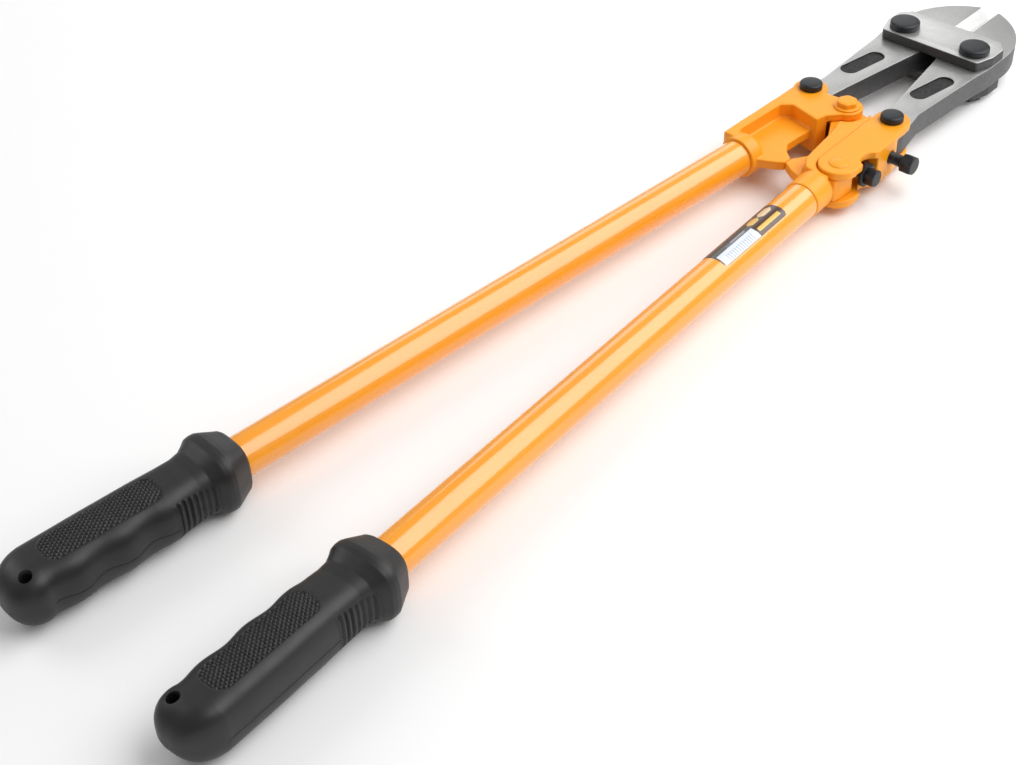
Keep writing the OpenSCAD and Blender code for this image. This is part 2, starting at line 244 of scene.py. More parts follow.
def sunk_scale():
    """Dark forging scale on the floors of the jaws' sunk panels."""
    mat, bsdf = new_material("forging_scale")
    g = Graph(mat)
    pits = g.noise(650, detail=6, roughness=0.65)
    colour = g.mix(g.ramp(pits, 0.35, 0.7), (0.012, 0.012, 0.013), (0.05, 0.05, 0.05))
    g.put(colour, bsdf.inputs["Base Color"])
    bsdf.inputs["Metallic"].default_value = 0.5
    bsdf.inputs["Roughness"].default_value = 0.6
    g.put(g.bump(pits, 0.6, 0.0004), bsdf.inputs["Normal"])
    return mat


def black_oxide():
    """Oily blue-black finish, with a little wear along the edges."""
    mat, bsdf = new_material("black_oxide_steel")
    g = Graph(mat)
    cloud = g.noise(240, detail=5)
    dark = g.mix(g.ramp(cloud, 0.3, 0.7), (0.011, 0.012, 0.014), (0.026, 0.028, 0.031))
    bright_edges = g.math("MULTIPLY", g.edge_wear_and_highlight(0.4 * MM), g.ramp(g.noise(500), 0.45, 0.65))
    g.put(g.mix(g.math("MULTIPLY", bright_edges, 0.5), dark, (0.16, 0.16, 0.17)), bsdf.inputs["Base Color"])
    bsdf.inputs["Metallic"].default_value = 0.35
    g.put(g.ramp(cloud, 0.3, 0.7, 0.3, 0.46), bsdf.inputs["Roughness"])
    g.put(g.bump(g.noise(1500, detail=3), 0.12, 0.0001), bsdf.inputs["Normal"])
    return mat


def black_rubber(name, tone, rough):
    """Moulded rubber: matt, with a fine sparked grain and faint dust."""
    mat, bsdf = new_material(name)
    g = Graph(mat)
    cloud = g.noise(22, detail=4)
    dark = (tone,) * 3
    g.put(g.mix(g.ramp(cloud, 0.35, 0.7), dark, shade(dark, 1.5)), bsdf.inputs["Base Color"])
    g.put(g.ramp(g.noise(90), 0.3, 0.7, rough, rough + 0.1), bsdf.inputs["Roughness"])
    bsdf.inputs["Specular IOR Level"].default_value = 0.45
    grain = g.bump(g.noise(2200, detail=3), 0.25, 0.00012)
    g.put(g.bump(g.noise(160, detail=2), 0.12, 0.0003, under=grain), bsdf.inputs["Normal"])
    return mat


def label_film():
    """Printed film label with plain blocks of colour and no lettering, laid out in UV."""
    mat, bsdf = new_material("label_film")
    g = Graph(mat)
    uv = g.nodes.new("ShaderNodeUVMap")
    split = g.nodes.new("ShaderNodeSeparateXYZ")
    g.links.new(uv.outputs[0], split.inputs[0])
    u, v = split.outputs[0], split.outputs[1]

    def inside(value, low, high):
        return g.math("MULTIPLY", g.math("GREATER_THAN", value, low), g.math("LESS_THAN", value, high))

    def block(u0, u1, v0, v1):
        return g.math("MULTIPLY", inside(u, u0, u1), inside(v, v0, v1))

    def hexagon_patch(cu, cv, ru, rv):
        du = g.math("DIVIDE", g.math("ABSOLUTE", g.math("SUBTRACT", u, cu)), ru)
        dv = g.math("DIVIDE", g.math("ABSOLUTE", g.math("SUBTRACT", v, cv)), rv)
        slant = g.math("ADD", du, g.math("MULTIPLY", dv, 0.45))
        return g.math("MULTIPLY", g.math("LESS_THAN", slant, 1.0), g.math("LESS_THAN", dv, 1.0))

    bars = g.math("GREATER_THAN", g.math("FRACT", g.math("MULTIPLY", u, 31.0)), 0.55)
    colour = g.mix(g.noise(200), (0.055, 0.022, 0.01), (0.075, 0.03, 0.014))
    patches = (
        (block(0.43, 1.0, 0.0, 0.62), (0.022, 0.022, 0.024)),
        (block(0.43, 0.985, 0.58, 0.985), (0.74, 0.78, 0.84)),
        (g.math("MULTIPLY", bars, block(0.5, 0.9, 0.72, 0.96)), (0.4, 0.46, 0.56)),
        (hexagon_patch(0.14, 0.42, 0.105, 0.13), (0.72, 0.52, 0.3)),
        (hexagon_patch(0.33, 0.42, 0.085, 0.12), (0.7, 0.4, 0.06)),
        (block(0.06, 0.4, 0.72, 0.86), (0.8, 0.46, 0.06)),
        (block(0.5, 0.72, 0.47, 0.5), (0.4, 0.42, 0.45)),
        (block(0.5, 0.8, 0.52, 0.54), (0.3, 0.32, 0.35)))
    for mask, tint in patches:
        colour = g.mix(mask, colour, tint)
    g.put(colour, bsdf.inputs["Base Color"])
    g.put(g.ramp(g.noise(300), 0.3, 0.7, 0.26, 0.38), bsdf.inputs["Roughness"])
    bsdf.inputs["Coat Weight"].default_value = 0.4
    g.put(g.bump(g.noise(120), 0.15, 0.0002), bsdf.inputs["Normal"])
    return mat


TUBE_PAINT = orange_paint("orange_enamel", cast=False)
CAST_PAINT = orange_paint("orange_enamel_on_casting", cast=True)
JAW_STEEL = ground_steel("jaw_steel", (0.52, 0.52, 0.51), (0.1, 0.1, 0.102), "X")
PLATE_STEEL = ground_steel("side_plate_steel", (0.7, 0.7, 0.69), (0.06, 0.06, 0.06), "Y")
BEVEL = bright_bevel()
SCALE = sunk_scale()
OXIDE = black_oxide()
RUBBER = black_rubber("moulded_rubber", 0.011, 0.4)
PAD_RUBBER = black_rubber("pad_rubber", 0.003, 0.42)
LABEL = label_film()

# ---------------------------------------------------------------- mesh helpers

def add_object(name, verts, faces, material, body, replaced):
    mesh = bpy.data.meshes.new(name)
    mesh.from_pydata([tuple(v) for v in verts], [], faces)
    mesh.update()
    obj = bpy.data.objects.new(name, mesh)
    bpy.context.scene.collection.objects.link(obj)
    register(obj, material, body, replaced)
    return obj


def register(obj, material, body, replaced):
    """Gives a piece its material and body, and hides the CAD nodes that it stands for."""
    obj.data.materials.clear()
    obj.data.materials.append(material)
    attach(obj, body)
    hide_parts(*replaced)


def smooth_by_angle(obj, degrees=35):
    bm = bmesh.new()
    bm.from_mesh(obj.data)
    bmesh.ops.recalc_face_normals(bm, faces=bm.faces)
    for face in bm.faces:
        face.smooth = True
    for edge in bm.edges:
        if len(edge.link_faces) == 2:
            edge.smooth = edge.calc_face_angle() < math.radians(degrees)
    bm.to_mesh(obj.data)
    bm.free()


def apply_modifiers(obj):
    bpy.context.view_layer.update()
    evaluated = obj.evaluated_get(bpy.context.evaluated_depsgraph_get())
    mesh = bpy.data.meshes.new_from_object(evaluated)
    obj.modifiers.clear()
    obj.data = mesh


def copy_of(node, name):
    """A welded copy of a CAD node's mesh, in place, to be refined."""
    source = frame["nodes"][node]
    obj = bpy.data.objects.new(name, source.data.copy())
    bpy.context.scene.collection.objects.link(obj)
    bm = bmesh.new()
    bm.from_mesh(obj.data)
    bmesh.ops.remove_doubles(bm, verts=bm.verts, dist=0.002 * MM)
    bmesh.ops.dissolve_limit(bm, angle_limit=math.radians(0.5), verts=bm.verts, edges=bm.edges)
    bm.to_mesh(obj.data)
    bm.free()
    obj.data.materials.clear()
    return obj


def casting(node, name, body, soften):
    """A cast piece: the CAD solid remeshed and softened, so that its edges are rounded."""
    obj = copy_of(node, name)
    remesh = obj.modifiers.new("remesh", "REMESH")
    remesh.mode = "VOXEL"
    remesh.voxel_size = 0.55 * MM
    smooth = obj.modifiers.new("soften", "SMOOTH")
    smooth.factor = 0.5
    smooth.iterations = soften
    apply_modifiers(obj)
    for polygon in obj.data.polygons:
        polygon.use_smooth = True
    register(obj, CAST_PAINT, body, (node,))


def bevelled(node, name, body, material, width=0.45 * MM):
    """A ground or cut piece: the CAD solid with small rounded edges."""
    obj = copy_of(node, name)
    bevel = obj.modifiers.new("bevel", "BEVEL")
    bevel.width = width
    bevel.segments = 3
    bevel.limit_method = "ANGLE"
    bevel.angle_limit = math.radians(25)
    triangulate = obj.modifiers.new("triangulate", "TRIANGULATE")
    triangulate.min_vertices = 5
    apply_modifiers(obj)
    smooth_by_angle(obj, 30)
    register(obj, material, body, (node,))
    return obj


def revolve(rings, place, sides, pierced):
    """Points and faces of rings of (height, radius), where a radius may be a function of the angle.

    The end rings are capped, or, in a pierced piece, the last ring joins the first.
    """
    verts, faces = [], []
    count = len(rings)
    for z, radius in rings:
        for k in range(sides):
            a = 2 * math.pi * k / sides
            r = radius(a) if callable(radius) else radius
            verts.append(place @ Vector((r * math.cos(a), r * math.sin(a), z)))
    for i in range(count if pierced else count - 1):
        j = (i + 1) % count
        for k in range(sides):
            n = (k + 1) % sides
            faces.append((i * sides + k, i * sides + n, j * sides + n, j * sides + k))
    if not pierced:
        faces.append(tuple(range(sides - 1, -1, -1)))
        faces.append(tuple((count - 1) * sides + k for k in range(sides)))
    return verts, faces


def turned(name, rings, place, material, body, replaced, sides=96, pierced=False):
    """A turned piece, solid or with a hole through it."""
    verts, faces = revolve(rings, place, sides, pierced)
    obj = add_object(name, verts, faces, material, body, replaced)
    smooth_by_angle(obj)


def arc_rings(z0, r0, z1, r1, steps=8):
    """Rings along a quarter-ellipse from the rim (z0, r0) in to (z1, r1)."""
    rings = []
    for i in range(1, steps + 1):
        t = math.pi / 2 * i / steps
        rings.append((z0 + (z1 - z0) * math.sin(t), r1 + (r0 - r1) * math.cos(t)))
    return rings


def hexagon(across_flats, limit):
    """Radius of a hexagon whose corners are turned down to the radius limit."""
    def radius(a):
        off = (a + math.pi / 6) % (math.pi / 3) - math.pi / 6
        return min(across_flats / 2 / math.cos(off), limit)
    return radius


def upright_at(x, y):
    """Places a turned piece upright, its heights measured from the floor."""
    return Matrix.Translation((x, y, 0))


# ---------------------------------------------------------------- cast pieces

casting("left_fitting", "left_fitting_casting", "left_handle", soften=6)
casting("right_fitting", "right_fitting_casting", "right_handle", soften=6)
casting("adjusting_link", "adjusting_link_forging", "right_handle", soften=5)

# ---------------------------------------------------------------- jaws and side plates

# The cutting bevels start here, and stay this close to the centre line
BEVEL_START_X = CENTRE.x + 126 * MM
BEVEL_REACH_Y = 6.3 * MM
# Height of a sunk panel's floor above mid-thickness, and the stretch of X and Y that holds the panels
PANEL_FLOOR = 5.8 * MM
PANEL_BOX = (CENTRE.x + 38 * MM, CENTRE.x + 79 * MM, 12 * MM, 36 * MM)


def paint_jaw_faces(obj):
    """Slot 0 is the ground steel, 1 the bright cutting bevels, 2 the scale in the sunk panels."""
    obj.data.materials.append(BEVEL)
    obj.data.materials.append(SCALE)
    x_low, x_high, y_low, y_high = PANEL_BOX
    for polygon in obj.data.polygons:
        c, n = polygon.center, polygon.normal
        over_floor = abs(c.z - MID_Z) - PANEL_FLOOR
        slanted = 0.2 < abs(n.z) < 0.95
        over_panel = x_low < c.x < x_high and y_low < abs(c.y) < y_high
        if slanted and c.x > BEVEL_START_X and abs(c.y) < BEVEL_REACH_Y:
            polygon.material_index = 1
        elif over_panel and -0.1 * MM < over_floor < 0.9 * MM:
            polygon.material_index = 2


for side_name in ("left", "right"):
    jaw = bevelled(f"{side_name}_jaw", f"{side_name}_jaw_forging", f"{side_name}_jaw",
                   JAW_STEEL, width=0.5 * MM)
    paint_jaw_faces(jaw)

for level in ("top", "bottom"):
    bevelled(f"{level}_side_plate", f"{level}_plate_ground", "side_plates", PLATE_STEEL)

# ---------------------------------------------------------------- bolts, nuts and screws

CHEEK_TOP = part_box("adjusting_link")[1].z
CHEEK_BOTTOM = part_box("adjusting_link")[0].z
PLATE_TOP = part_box("top_side_plate")[1].z
PIVOT_R = 4.9 * MM
JAW_BOLT_R = 5.95 * MM
# Radial clearance of a bore over its shank
FIT = 0.05 * MM


def round_head_bolt(name, node, point, shank_r, seat_z, body):
    """Low domed head with a rounded rim over a plain shank."""
    low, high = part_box(node)
    head_r = (high.x - low.x) / 2
    head_h = high.z - seat_z
    rim_z = seat_z + head_h * 0.6
    rings = [(low.z, shank_r - 0.6 * MM), (low.z + 0.6 * MM, shank_r), (seat_z, shank_r),
             (seat_z, head_r - 0.3 * MM), (seat_z + 0.25 * MM, head_r), (rim_z, head_r)]
    rings += arc_rings(rim_z, head_r, seat_z + head_h * 0.88, head_r * 0.9)
    rings += arc_rings(seat_z + head_h * 0.88, head_r * 0.9, high.z, head_r * 0.02, steps=10)
    turned(name, rings, upright_at(point.x, point.y), OXIDE, body, (node,))


def nut_rings(low_z, high_z, across_flats, hole_r):
    """A hexagon nut with turned-down corners and a bore, as one closed loop of rings."""
    corner = across_flats / 2 / math.cos(math.pi / 6)
    turned_r = across_flats / 2 * 0.98
    crown = (corner - turned_r) * 0.58
    return [(low_z, turned_r), (low_z + crown / 2, hexagon(across_flats, (corner + turned_r) / 2)),
            (low_z + crown, hexagon(across_flats, corner)), (high_z - crown, hexagon(across_flats, corner)),
            (high_z - crown / 2, hexagon(across_flats, (corner + turned_r) / 2)), (high_z, turned_r),
            (high_z, hole_r + 0.4 * MM), (high_z - 0.4 * MM, hole_r), (low_z + 0.4 * MM, hole_r),
            (low_z, hole_r + 0.4 * MM)]


for node, point, shank_r, seat_z, body in (
        ("left_pivot_bolt", LEFT_PIVOT, PIVOT_R, CHEEK_TOP, "left_handle"),
        ("right_pivot_bolt", RIGHT_PIVOT, PIVOT_R, CHEEK_TOP, "right_handle"),
        ("left_jaw_bolt", LEFT_JAW_BOLT, JAW_BOLT_R, PLATE_TOP, "side_plates"),
        ("right_jaw_bolt", RIGHT_JAW_BOLT, JAW_BOLT_R, PLATE_TOP, "side_plates")):
    round_head_bolt(f"{node}_turned", node, point, shank_r, seat_z, body)

for node, point, body, material, slot_name in (
        ("left_pivot_nut", LEFT_PIVOT, "left_handle", OXIDE, "black_oxide"),
        ("right_pivot_nut", RIGHT_PIVOT, "right_handle", OXIDE, "black_oxide"),
        ("centre_nut", CENTRE, "left_handle", CAST_PAINT, "orange_cast_paint")):
    low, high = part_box(node)
    rings = nut_rings(low.z, high.z, high.y - low.y, PIVOT_R + FIT)
    turned(f"{node}_hex", rings, upright_at(point.x, point.y), material, body, (node,),
           pierced=True)


def jaw_nut_and_washer(side_name, point):
    place = upright_at(point.x, point.y)
    hole_r = JAW_BOLT_R + FIT
    across_flats = 16 * MM
    low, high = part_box("jaw_nuts")
    nut = nut_rings(low.z, high.z, across_flats, hole_r)
    turned(f"{side_name}_jaw_nut_hex", nut, place, OXIDE, "side_plates", ("jaw_nuts",),
           pierced=True)

    low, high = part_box("jaw_washers")
    outer_r = (high.x - low.x) / 2
    rim = 0.15 * MM
    washer = [(low.z, outer_r - rim), (low.z + rim, outer_r), (high.z - rim, outer_r),
              (high.z, outer_r - rim), (high.z, hole_r), (low.z, hole_r)]
    turned(f"{side_name}_jaw_washer_flat", washer, place, OXIDE, "side_plates",
           ("jaw_washers",), pierced=True)


jaw_nut_and_washer("left", LEFT_JAW_BOLT)
jaw_nut_and_washer("right", RIGHT_JAW_BOLT)


def thread(z, radius, pitch):
    """Radius round one ring of a helical thread."""
    depth = 0.55 * pitch

    def at_angle(a):
        phase = (z / pitch - a / (2 * math.pi)) % 1.0
        return radius - depth * abs(2 * phase - 1) ** 1.2
    return at_angle


def set_screw(name, node, body, shank_r, pitch, threaded, head, across_flats, collar=None):
    """A hexagon-headed screw along -Y.

    threaded, head and the collar's first two values are distances from the tool's centre line, and
    the collar's third is its radius.
    """
    low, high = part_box(node)
    step = pitch / 6
    start, end = threaded
    count = int((end - start) / step)
    rings = [(start - 0.8 * MM, shank_r - 1.0 * MM)]
    rings += [(start + i * step, thread(start + i * step, shank_r, pitch)) for i in range(count + 1)]
    if collar:
        inner, outer, collar_r = collar
        rings += [(inner, collar_r - 0.3 * MM), (inner + 0.3 * MM, collar_r), (outer - 0.4 * MM, collar_r),
                  (outer, collar_r - 0.5 * MM)]
    seat, top = head
    corner = across_flats / 2 / math.cos(math.pi / 6)
    turned_r = across_flats / 2 * 0.97
    rings += [(seat, hexagon(across_flats, turned_r)), (seat + 0.35 * MM, hexagon(across_flats, corner)),
              (top - 0.9 * MM, hexagon(across_flats, corner)),
              (top - 0.45 * MM, hexagon(across_flats, (corner + turned_r) / 2)),
              (top - 0.05 * MM, turned_r), (top, turned_r - 0.3 * MM), (top, turned_r * 0.4)]
    place = Matrix.Translation(((low.x + high.x) / 2, 0, MID_Z)) @ Matrix.Rotation(math.pi / 2, 4, "X")
    turned(name, rings, place, OXIDE, body, (node,))


set_screw("front_adjusting_screw_threaded", "front_adjusting_screw", "front_screw", 3.7 * MM, 1.25 * MM,
          threaded=(26 * MM, 50.2 * MM), head=(50.5 * MM, 58 * MM), across_flats=10.4 * MM)
set_screw("rear_lock_screw_threaded", "rear_lock_screw", "rear_screw", 2.95 * MM, 1.0 * MM,
          threaded=(24.8 * MM, 39.6 * MM), head=(42.6 * MM, 48.6 * MM), across_flats=9.7 * MM,
          collar=(40 * MM, 42.4 * MM, 7.2 * MM))


def link_rivet():
    """Low domed heads over a plain shank."""
    low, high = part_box("link_rivet")
    head_r = 6 * MM
    # The domes stop this angle short of their poles, where a flat cap closes them
    cap = 0.12
    rings = [(low.z, head_r * 0.05)]
    rings += [(low.z + (CHEEK_BOTTOM - low.z) * (1 - math.cos(t)), head_r * math.sin(t))
              for t in np.linspace(cap, math.pi / 2, 9)]
    rings += [(CHEEK_BOTTOM, PIVOT_R), (CHEEK_TOP, PIVOT_R)]
    rings += [(CHEEK_TOP + (high.z - CHEEK_TOP) * math.sin(t), head_r * math.cos(t))
              for t in np.linspace(0, math.pi / 2 - cap, 9)]
    place = upright_at((low.x + high.x) / 2, (low.y + high.y) / 2)
    turned("link_rivet_domed", rings, place, CAST_PAINT, "right_handle",
           ("link_rivet",))


def centre_bolt():
    """Painted flange and hexagon, its edges filled by the paint."""
    low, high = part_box("centre_bolt")
    flange_r = (high.x - low.x) / 2
    flange_top = CHEEK_TOP + 1.2 * MM
    flats = 11.4 * MM
    rings = [(low.z, PIVOT_R - 0.6 * MM), (low.z + 0.6 * MM, PIVOT_R), (CHEEK_TOP, PIVOT_R),
             (CHEEK_TOP, flange_r - 0.2 * MM), (CHEEK_TOP + 0.3 * MM, flange_r),
             (flange_top - 0.3 * MM, flange_r - 0.15 * MM), (flange_top, flange_r - 0.9 * MM),
             (flange_top + 0.1 * MM, hexagon(flats, 6.3 * MM)),
             (high.z - 0.8 * MM, hexagon(flats - 0.2 * MM, 6.25 * MM)),
             (high.z - 0.25 * MM, hexagon(flats - 0.5 * MM, 5.8 * MM)),
             (high.z, 4.9 * MM), (high.z, 2 * MM)]
    turned("centre_bolt_hex", rings, upright_at(CENTRE.x, CENTRE.y), CAST_PAINT, "left_handle",
           ("centre_bolt",))


link_rivet()
centre_bolt()

# ---------------------------------------------------------------- tubes and label

ALONG_X = Matrix.Rotation(math.pi / 2, 4, "Y")
TUBE_END_S = TAIL_S - 22 * MM
TUBE_WALL = 2 * MM
# The sign of a handle's side, and where its tube starts
SIDES = {"left": (1, 73 * MM), "right": (-1, 86 * MM)}


def tube(side_name, side, start_s):
    chamfer = 0.4 * MM
    bore_r = TUBE_R - TUBE_WALL
    rings = [(start_s, TUBE_R - chamfer), (start_s + chamfer, TUBE_R), (TUBE_END_S - chamfer, TUBE_R),
             (TUBE_END_S, TUBE_R - chamfer), (TUBE_END_S, bore_r), (start_s, bore_r)]
    turned(f"{side_name}_tube_drawn", rings, handle_matrix(side) @ ALONG_X, TUBE_PAINT,
           f"{side_name}_handle", (f"{side_name}_tube",), sides=128, pierced=True)


for side_name, (side, start_s) in SIDES.items():
    tube(side_name, side, start_s)


def wrapped_label(side):
    """A thin closed shell with rounded corners on the tube's upper outer side, with UV over it."""
    start_s, length = 112 * MM, 62 * MM
    first, last = math.radians(-58), math.radians(38)
    along, around = 48, 48
    m = handle_matrix(side)
    corner = 2.2 * MM
    arc_len = (last - first) * TUBE_R
    verts, uvs = [], []
    for radius in (TUBE_R + 0.14 * MM, TUBE_R + 0.01 * MM):
        for i in range(along + 1):
            for j in range(around + 1):
                u, v = i / along, j / around
                end = min(u, 1 - u) * length
                pull = corner - math.sqrt(max(corner ** 2 - max(corner - end, 0) ** 2, 0))
                v_in = pull / arc_len
                v_pos = v_in + v * (1 - 2 * v_in)
                a = first + v_pos * (last - first)
                verts.append(m @ Vector((start_s + u * length, radius * math.sin(a), radius * math.cos(a))))
                uvs.append((u, v_pos))

    # Outer and inner layer, then the rim that joins them
    row, layer = around + 1, (along + 1) * (around + 1)
    faces = []
    for i in range(along):
        for j in range(around):
            a, b = i * row + j, (i + 1) * row + j
            faces.append((a, a + 1, b + 1, b))
            faces.append((layer + a, layer + b, layer + b + 1, layer + a + 1))
    rim = [i * row for i in range(along + 1)]
    rim += [along * row + j for j in range(1, around + 1)]
    rim += [i * row + around for i in range(along - 1, -1, -1)]
    rim += range(around - 1, 0, -1)
    for k, a in enumerate(rim):
        b = rim[(k + 1) % len(rim)]
        faces.append((a, b, layer + b, layer + a))
    obj = add_object("size_label_film", verts, faces, LABEL, "right_handle", ("size_label",))
    layer_uv = obj.data.uv_layers.new(name="label")
    for loop in obj.data.loops:
        layer_uv.data[loop.index].uv = uvs[loop.vertex_index]
    smooth_by_angle(obj, 40)


wrapped_label(SIDES["right"][0])

# ---------------------------------------------------------------- grips

GRIP_RINGS = 360
GRIP_SIDES = 280
# Power of the section's superellipse
SQUARENESS = 3.1
# A point of the unit section lies on a face where its distance out is more than this
FACE = 0.6
# Distance from the front of the grip, half height, outer and inner half width, in mm
GRIP_SHAPE = np.array([
    (0.0, 13.6, 13.8, 13.8), (1.2, 14.6, 15.0, 15.0), (3.0, 15.2, 15.8, 15.8), (9.0, 17.4, 18.6, 18.6),
    (11.5, 18.0, 19.8, 19.8), (14.0, 18.0, 20.0, 20.0), (16.5, 17.7, 19.6, 19.6), (19.0, 16.6, 17.8, 18.2),
    (23.0, 15.2, 15.2, 16.6), (29.0, 14.7, 13.9, 16.4), (38.0, 14.9, 13.8, 17.2), (52.0, 15.4, 14.1, 18.0),
    (80.0, 15.5, 14.5, 18.4), (104.0, 15.5, 14.5, 18.5), (131.0, 15.5, 14.5, 18.5)])
PAD_DEPTH = 0.8
# Depth and length of the finger waves on the inner side
WAVE_DEPTH = 0.8
WAVE_LEN = 26


def unit_superellipse(sides):
    """Points evenly spaced round a rounded unit square."""
    a = np.linspace(0, 2 * math.pi, 4000, endpoint=False)
    x = np.sign(np.cos(a)) * np.abs(np.cos(a)) ** (2 / SQUARENESS)
    y = np.sign(np.sin(a)) * np.abs(np.sin(a)) ** (2 / SQUARENESS)
    step = np.hypot(np.diff(x, append=x[0]), np.diff(y, append=y[0]))
    length = np.concatenate([[0], np.cumsum(step)])
    want = np.linspace(0, length[-1], sides, endpoint=False)
    return np.interp(want, length, np.append(x, x[0])), np.interp(want, length, np.append(y, y[0]))


def smoothstep(low, high, value):
    t = np.clip((value - low) / (high - low), 0, 1)
    return t * t * (3 - 2 * t)


def triangle_wave(value):
    return np.abs((value % 1.0) * 2 - 1)


def pad_mask(s, y, uz):
    """1 inside the crosshatched pads: long patches with rounded ends."""
    middle, half_width, round_end = -2.0, 8.8, 6.5
    first, last = 44.0, 107.0
    along = np.maximum(np.maximum(first + round_end - s, s - (last - round_end)), 0) / round_end
    across = np.maximum(np.abs(y - middle) - (half_width - round_end), 0) / round_end
    edge = np.sqrt(along ** 2 + across ** 2)
    return (1 - smoothstep(0.93, 1.02, edge)) * (np.abs(uz) > FACE)


def press_in_pads(s, y, z, uz):
    """Crosshatched pads on the upper and lower faces, and where they lie."""
    in_pad = pad_mask(s, y, uz)
    pitch_s, pitch_y = 3.2, 2.3
    p = triangle_wave(s / pitch_s + y / pitch_y)
    q = triangle_wave(s / pitch_s - y / pitch_y)
    diamonds = np.clip(np.minimum(p, q) * 2.6 - 0.25, 0, 1)
    return z - np.sign(z) * in_pad * PAD_DEPTH * (1 - 0.8 * diamonds), in_pad


def cut_ribs(s, y, z, uy):
    """Upright ribs on both side faces behind the flange, below a ridge, and where they lie."""
    pitch, first, last = 3.3, 20.0, 45.5
    depth, proud = 1.2, 0.3
    zone = smoothstep(first, first + 1, s) * (1 - smoothstep(last - 1, last, s))
    ridge_z = 10.8 - 0.1 * (last - s)
    zone = zone * (1 - smoothstep(ridge_z - 1.2, ridge_z, np.abs(z))) * (np.abs(uy) > FACE)
    groove = smoothstep(0.3, 0.8, triangle_wave((s - first) / pitch))
    return y - np.sign(y) * zone * (depth * groove - proud), zone


def cut_parting_line(s, y, z, uy, rib_zone):
    """The mould's parting line round the sides, wavy on the inner one and fainter over the ribs."""
    depth, half_width = 0.35, 0.32
    line_z = -2.5 + 0.9 * np.sin(2 * math.pi * (s - 52) / WAVE_LEN) * (uy < 0)
    shown = smoothstep(18, 22, s) * (1 - smoothstep(110, 116, s)) * (1 - 0.7 * rib_zone)
    return y - np.sign(y) * depth * np.exp(-((z - line_z) / half_width) ** 2) * shown


def tail_rounding(s, length, reach, power):
    """Scale of the section, falling from 1 to 0 over the last stretch before the tail."""
    t = np.clip((s - (length - reach)) / reach, 0, 1)
    return (1 - t ** power) ** (1 / power)


def grip_surface():
    """Outer surface of a grip as rings of points in the handle frame, in mm."""
    length = GRIP_LEN / MM
    s = np.linspace(0, 1, GRIP_RINGS)
    s = length * (1 - (1 - s) ** 1.15)
    cy, cz = unit_superellipse(GRIP_SIDES)
    tail_w = tail_rounding(s, length, 19, 2.3)
    tail_h = tail_rounding(s, length, 17, 2.2)
    station, half_height, outer_half, inner_half = GRIP_SHAPE.T
    half_h = np.interp(s, station, half_height) * tail_h
    outer = np.interp(s, station, outer_half) * tail_w
    waved = smoothstep(34, 44, s) * (1 - smoothstep(108, 118, s))
    wave = WAVE_DEPTH * np.cos(2 * math.pi * (s - 46) / WAVE_LEN) * waved
    inner = (np.interp(s, station, inner_half) - WAVE_DEPTH + wave) * tail_w
    ss, uy = np.meshgrid(s, cy, indexing="ij")
    uz = np.broadcast_to(cz, ss.shape)
    middle = np.interp(s, (length - 19, length), (0, -3))[:, None]
    y = np.where(uy > 0, uy * outer[:, None], uy * inner[:, None]) + middle
    z = uz * half_h[:, None]

    z, in_pad = press_in_pads(ss, y, z, uz)
    y, rib_zone = cut_ribs(ss, y, z, uy)
    y = cut_parting_line(ss, y, z, uy, rib_zone)
    return ss, y, z, in_pad


def grip(side_name, side):
    """One moulded grip: its bore down to the tube's end, then its outer surface and its tail."""
    m = handle_matrix(side)
    front = (TAIL_S - GRIP_LEN) / MM
    ss, y, z, in_pad = grip_surface()
    angle = np.arctan2(z[0], y[0])
    bore = TUBE_R / MM + 0.02
    bore_end = TUBE_END_S / MM - front
    rings = []
    for s, r in ((bore_end, 0.5), (bore_end, bore), (1.5, bore), (0.0, bore + 0.6)):
        rings.append(np.stack([np.full(GRIP_SIDES, s), r * np.cos(angle), r * np.sin(angle)], 1))
    inner_rings = len(rings)
    rings += [np.stack([ss[i], y[i], z[i]], 1) for i in range(GRIP_RINGS - 1)]
    verts = [m @ (Vector((p[0] + front, p[1], p[2])) * MM) for ring in rings for p in ring]
    faces = []
    for i in range(len(rings) - 1):
        here, there = i * GRIP_SIDES, (i + 1) * GRIP_SIDES
        for k in range(GRIP_SIDES):
            n = (k + 1) % GRIP_SIDES
            faces.append((here + k, there + k, there + n, here + n))
    faces.append(tuple(range(GRIP_SIDES)))
    last = (len(rings) - 1) * GRIP_SIDES
    faces.append(tuple(last + k for k in range(GRIP_SIDES - 1, -1, -1)))
    obj = add_object(f"{side_name}_grip_moulded", verts, faces, RUBBER, f"{side_name}_handle",
                     (f"{side_name}_grip",))
    obj.data.materials.append(PAD_RUBBER)
    for polygon in list(obj.data.polygons)[:-2]:
        ring, k = divmod(polygon.index, GRIP_SIDES)
        if ring >= inner_rings and in_pad[ring - inner_rings, k] > 0.5:
            polygon.material_index = 1
    smooth_by_angle(obj, 50)
    drill_lanyard(obj, m)


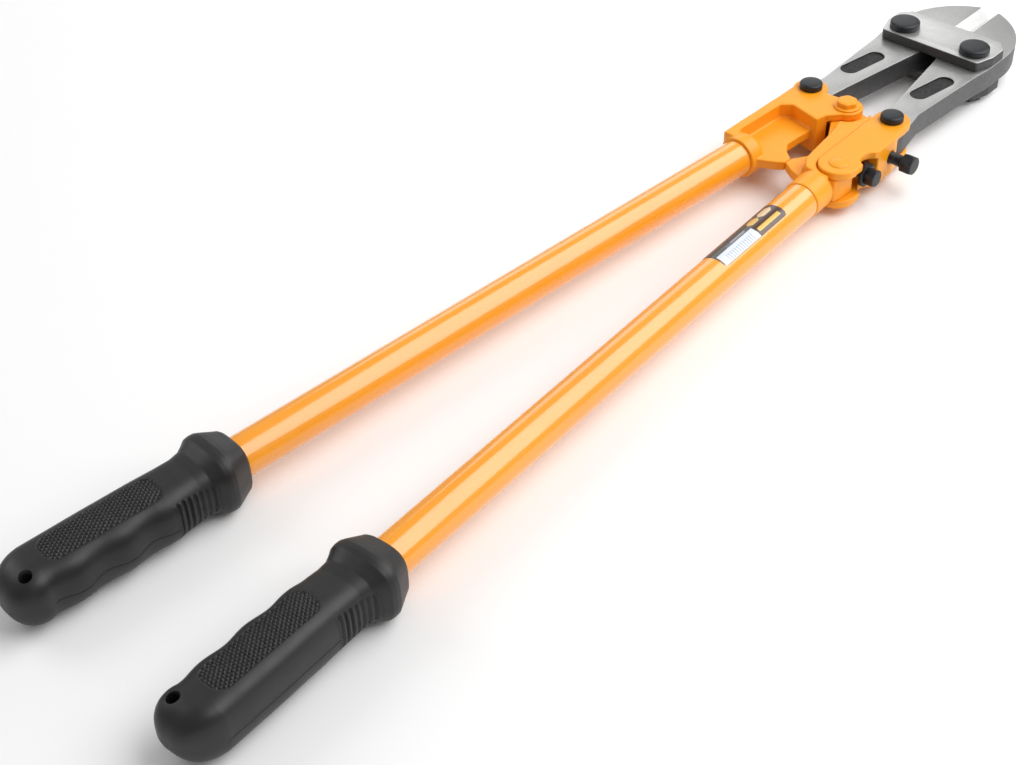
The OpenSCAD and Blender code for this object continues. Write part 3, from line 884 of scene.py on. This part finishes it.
def drill_lanyard(obj, m):
    """Cuts the lanyard hole near the tail, with a small countersink at each end."""
    from_tail, inset = 11.5 * MM, 9 * MM
    radius, half, flare = 3.0 * MM, 16.5 * MM, 1.6 * MM
    wide, rounded = radius + 1.4 * MM, radius + 0.5 * MM
    rings = [(-half, wide), (-half + flare, rounded), (-half + 2 * flare, radius),
             (half - 2 * flare, radius), (half - flare, rounded), (half, wide)]
    place = m @ Matrix.Translation((TAIL_S - from_tail, -inset, 0))
    verts, faces = revolve(rings, place, sides=48, pierced=False)
    mesh = bpy.data.meshes.new("lanyard_cutter")
    mesh.from_pydata([tuple(v) for v in verts], [], faces)
    bm = bmesh.new()
    bm.from_mesh(mesh)
    bmesh.ops.recalc_face_normals(bm, faces=bm.faces)
    bm.to_mesh(mesh)
    bm.free()
    cutter = bpy.data.objects.new("lanyard_cutter", mesh)
    bpy.context.scene.collection.objects.link(cutter)
    cut = obj.modifiers.new("lanyard", "BOOLEAN")
    cut.operation = "DIFFERENCE"
    cut.solver = "EXACT"
    cut.object = cutter
    apply_modifiers(obj)
    bpy.data.objects.remove(cutter)


for side_name, (side, _) in SIDES.items():
    grip(side_name, side)

# ---------------------------------------------------------------- floor, lights and camera

def make_floor():
    mat, bsdf = new_material("pale_floor")
    g = Graph(mat)
    g.put(g.mix(g.noise(3), (0.92, 0.92, 0.92), (0.95, 0.95, 0.95)), bsdf.inputs["Base Color"])
    bsdf.inputs["Roughness"].default_value = 0.65
    half = 12
    corners = [(-half, -half, 0), (half, -half, 0), (half, half, 0), (-half, half, 0)]
    mesh = bpy.data.meshes.new("studio_floor")
    mesh.from_pydata(corners, [], [(0, 1, 2, 3)])
    floor = bpy.data.objects.new("studio_floor", mesh)
    bpy.context.scene.collection.objects.link(floor)
    floor.data.materials.append(mat)


def area_light(name, place, target, size, power):
    """A rectangular light facing the target; size is its width and depth."""
    data = bpy.data.lights.new(name, "AREA")
    data.shape = "RECTANGLE"
    data.size, data.size_y = size
    data.energy = power
    light = bpy.data.objects.new(name, data)
    light.location = place
    light.rotation_mode = "QUATERNION"
    light.rotation_quaternion = (Vector(target) - Vector(place)).to_track_quat("-Z", "Y")
    bpy.context.scene.collection.objects.link(light)


def make_lights():
    """One wide overhead softbox, a low one past the jaws and a weak fill on the left."""
    area_light("overhead_softbox", (0.85, -0.75, 1.35), (0.1, -0.15, 0), (2.1, 1.7), power=38)
    area_light("far_softbox", (1.5, 1.3, 0.9), (0.2, 0, 0), (1.5, 0.8), power=5.5)
    area_light("left_fill", (-0.6, 1.5, 1.2), (-0.1, 0, 0), (1.0, 1.0), power=7)
    world = bpy.data.worlds.new("studio")
    bpy.context.scene.world = world
    world.use_nodes = True
    background = world.node_tree.nodes["Background"]
    background.inputs["Color"].default_value = (1, 1, 1, 1)
    background.inputs["Strength"].default_value = 0.36


def plain_colours():
    """Keeps the paint's saturation, which a filmic curve would wash out."""
    view = bpy.context.scene.view_settings
    view.view_transform = "Standard"
    view.look = "None"


def make_camera():
    """Looks forward along the tool from above, behind and to the right of the handles."""
    place = CENTRE + Vector((-0.7946, -0.4776, 0.5696))
    yaw, pitch, roll = (math.radians(degrees) for degrees in (44.04, -40.28, -2.27))
    forward = Vector((math.cos(yaw) * math.cos(pitch), math.sin(yaw) * math.cos(pitch), math.sin(pitch)))
    right = forward.cross(Vector((0, 0, 1))).normalized()
    up = right.cross(forward)
    turned_right = right * math.cos(roll) + up * math.sin(roll)
    turned_up = up * math.cos(roll) - right * math.sin(roll)
    data = bpy.data.cameras.new("camera")
    data.sensor_width = 36
    data.lens = 61.3
    data.clip_start = 0.05
    camera = bpy.data.objects.new("camera", data)
    m = Matrix.Identity(4)
    for row in range(3):
        m[row] = (turned_right[row], turned_up[row], -forward[row], place[row])
    camera.matrix_world = m
    bpy.context.scene.collection.objects.link(camera)
    bpy.context.scene.camera = camera


make_floor()
make_lights()
plain_colours()
make_camera()
